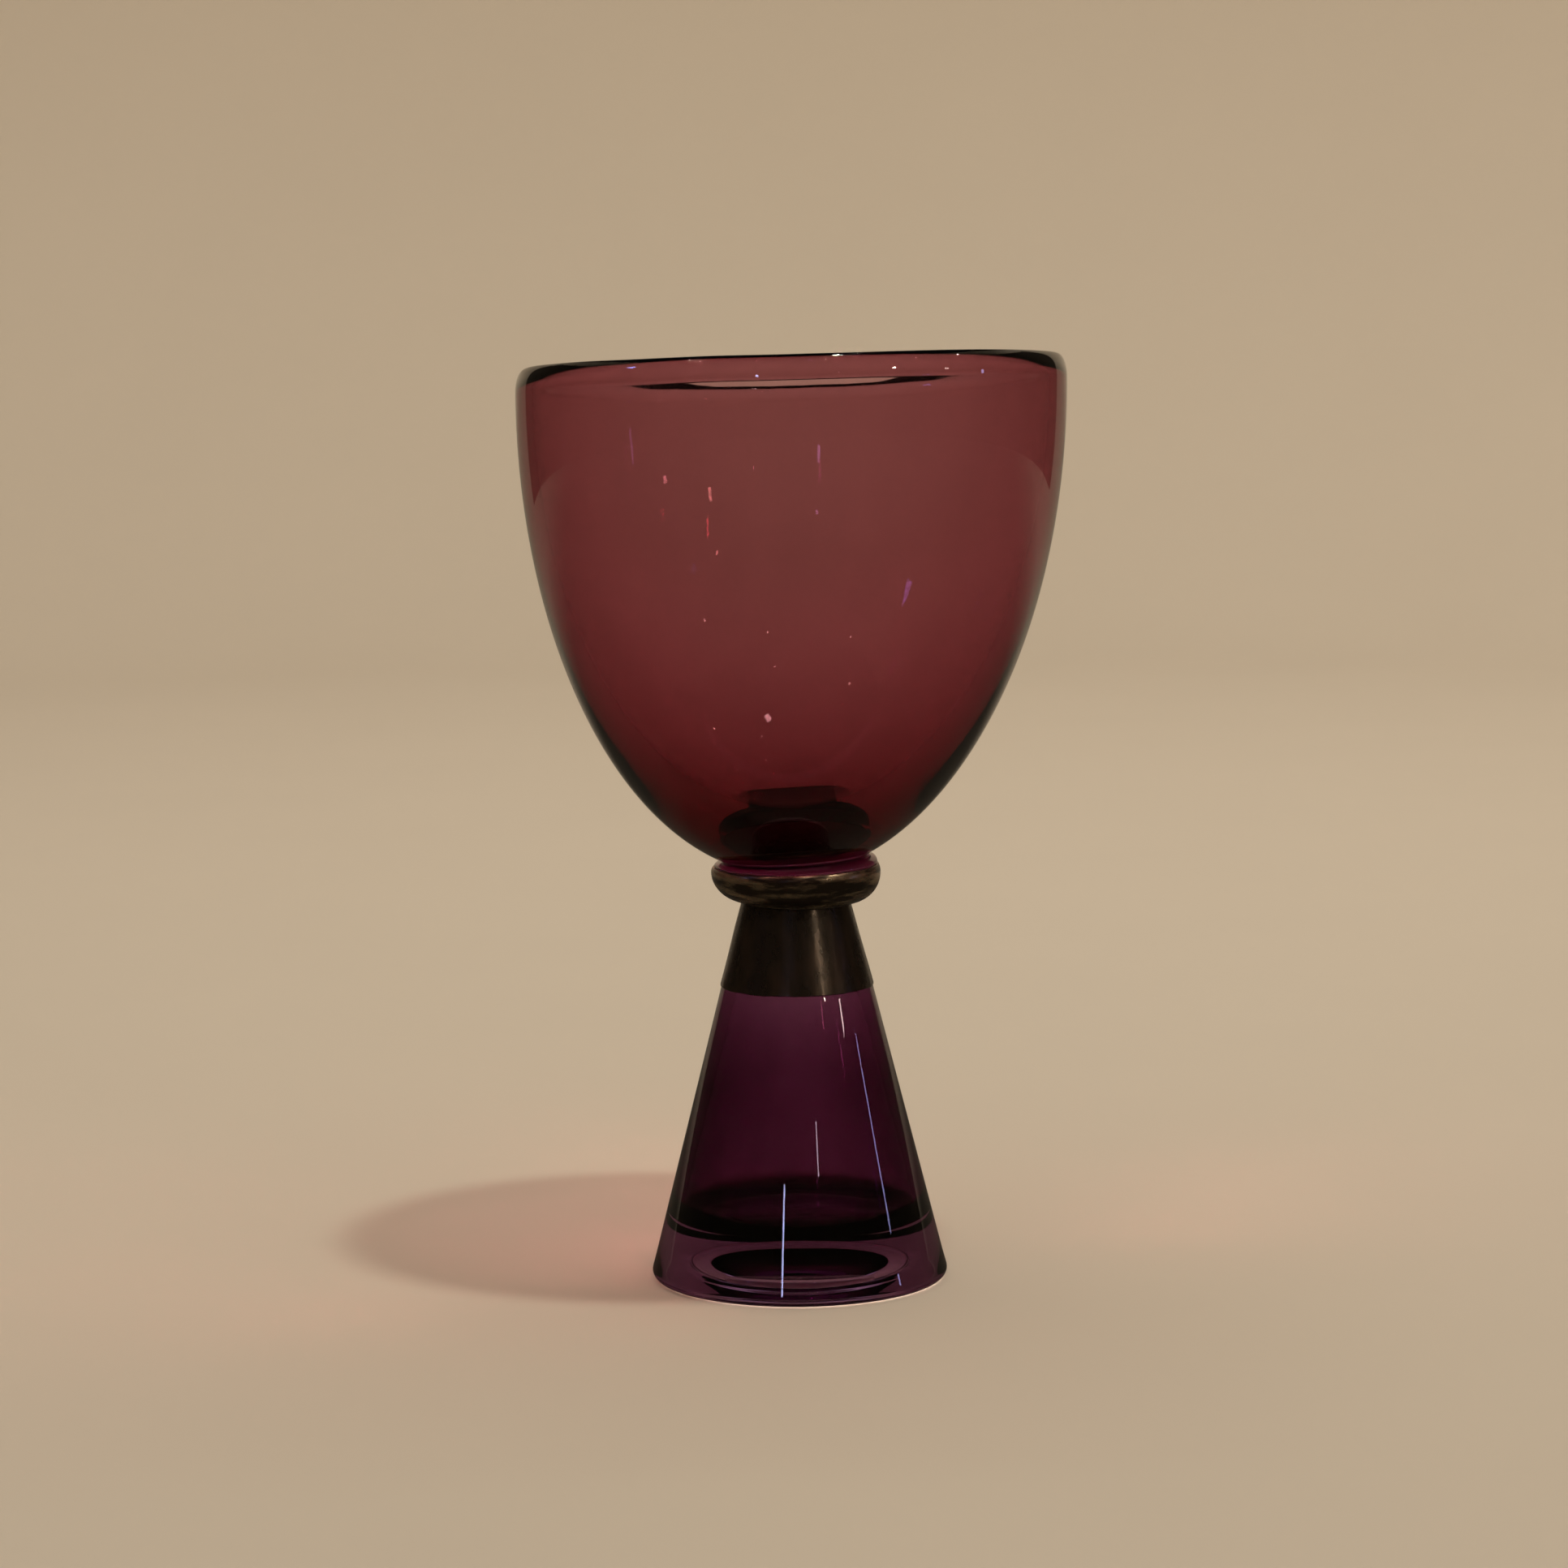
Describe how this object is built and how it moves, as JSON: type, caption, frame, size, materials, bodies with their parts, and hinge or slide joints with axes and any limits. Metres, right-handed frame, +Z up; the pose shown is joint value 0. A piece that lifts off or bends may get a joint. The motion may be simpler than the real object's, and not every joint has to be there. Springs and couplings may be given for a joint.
{
  "type": "chalice",
  "caption": "Stemmed drinking cup with a deep egg-shaped glass bowl, a bulging metal collar and sleeve, and a hollow conical glass foot.",
  "frame": {"origin": "on the table, under the middle of the foot", "axes": "+Z up along the axis that every piece is turned around, -Y toward the high front of the lip"},
  "size_m": [0.1422, 0.1422, 0.2446],
  "materials": {
    "burgundy_glass": "fire-polished blown glass, transparent burgundy",
    "purple_glass": "fire-polished blown glass, deep transparent purple",
    "blackened_metal": "blackened patina, rubbed, satin",
    "solder": "bright soft solder",
    "adhesive": "cured clear adhesive that takes the colour of the glass around it"
  },
  "bodies": {
    "root": {"bowl": "burgundy_glass", "neck": "purple_glass", "foot": "purple_glass", "collar_ring": "blackened_metal", "sleeve": "blackened_metal", "solder_seam": "solder", "bowl_bond": "adhesive", "neck_bond": "adhesive", "spigot_bond": "adhesive", "foot_bond": "adhesive"}
  },
  "joints": []
}
